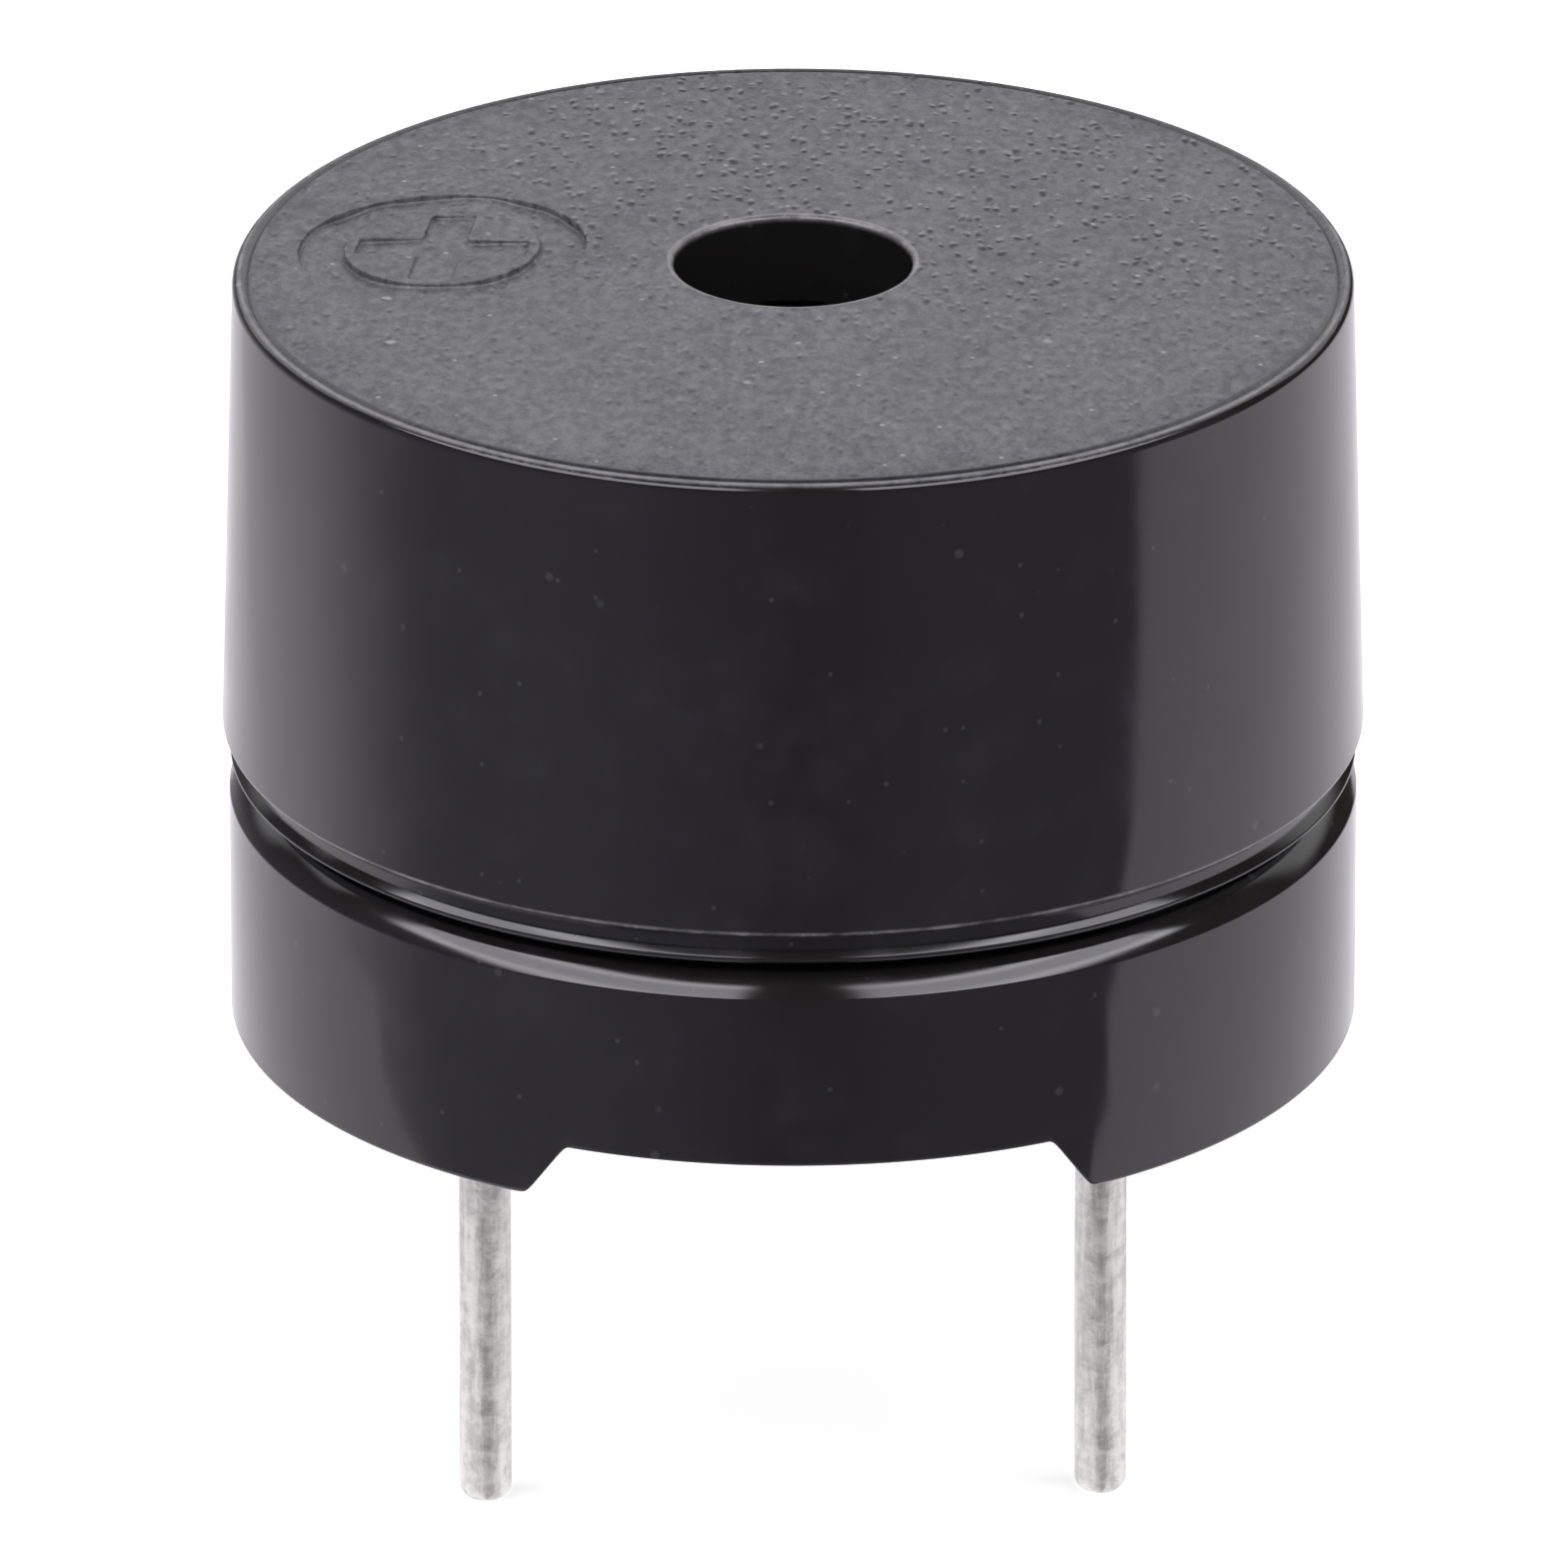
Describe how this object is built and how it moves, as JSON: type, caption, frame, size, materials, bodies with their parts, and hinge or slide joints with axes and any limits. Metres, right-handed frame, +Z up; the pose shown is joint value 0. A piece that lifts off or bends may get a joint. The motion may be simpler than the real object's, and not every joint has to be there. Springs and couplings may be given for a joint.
{
  "type": "magnetic buzzer",
  "caption": "Round black board-mount magnetic buzzer with a crowned top, a central sound hole, a plus mark, a seam groove round the side and straight tinned pins under notched feet.",
  "frame": {"origin": "middle of the plane that the feet stand on, midway between the two pins, which is the board's surface in use", "axes": "+Z up along the axis of the case, out of the sound hole; X through both pins, with the positive pin and the polarity mark at -X; +Y to the back, so the front notch between the feet faces -Y"},
  "size_m": [0.012, 0.012, 0.0141],
  "materials": {
    "moulded_case": "satin",
    "spring_steel": "satin",
    "soft_iron": "satin",
    "magnet_ferrite": "matte",
    "enamelled_copper": "gloss",
    "board_laminate": "satin",
    "tinned_pin": "satin",
    "solder": "satin",
    "sealing_resin": "gloss"
  },
  "bodies": {
    "root": {"upper_case": "moulded_case", "lower_case": "moulded_case", "diaphragm": "spring_steel", "armature_disc": "spring_steel", "ring_magnet": "magnet_ferrite", "pole_core": "soft_iron", "coil_winding": "enamelled_copper", "positive_tail": "enamelled_copper", "negative_tail": "enamelled_copper", "yoke_plate": "soft_iron", "circuit_board": "board_laminate", "positive_pin": "tinned_pin", "negative_pin": "tinned_pin", "positive_solder": "solder", "negative_solder": "solder", "sealing_resin": "sealing_resin"}
  },
  "joints": []
}
